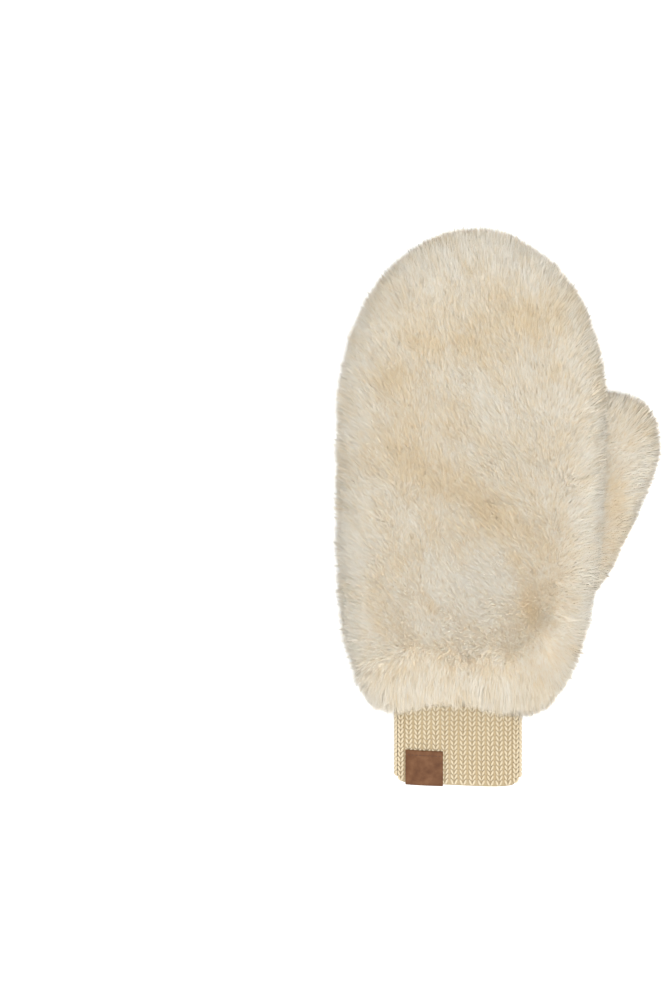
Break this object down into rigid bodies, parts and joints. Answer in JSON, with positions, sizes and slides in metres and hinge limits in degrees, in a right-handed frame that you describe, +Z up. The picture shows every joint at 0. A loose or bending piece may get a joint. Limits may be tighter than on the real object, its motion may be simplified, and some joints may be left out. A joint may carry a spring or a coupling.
{
  "type": "fur mitten",
  "caption": "Deep-pile fur mitten with a ribbed knit cuff and a folded leather tab, lying palm down with its wrist open.",
  "frame": {"origin": "under the middle of the whole mitten's box, on the surface that it lies on", "axes": "+Y from the cuff to the fingertips, +Z up out of the back of the hand, +X to the thumb's side"},
  "size_m": [0.1682, 0.2882, 0.0713],
  "materials": {
    "fur": "long soft cream pile",
    "knit": "matt ribbed wool",
    "leather": "matt brown"
  },
  "bodies": {
    "root": {"back_panel": "fur", "palm_panel": "fur", "thumb_top": "fur", "thumb_underside": "fur", "knit_cuff": "knit", "leather_tab": "leather"}
  },
  "joints": []
}
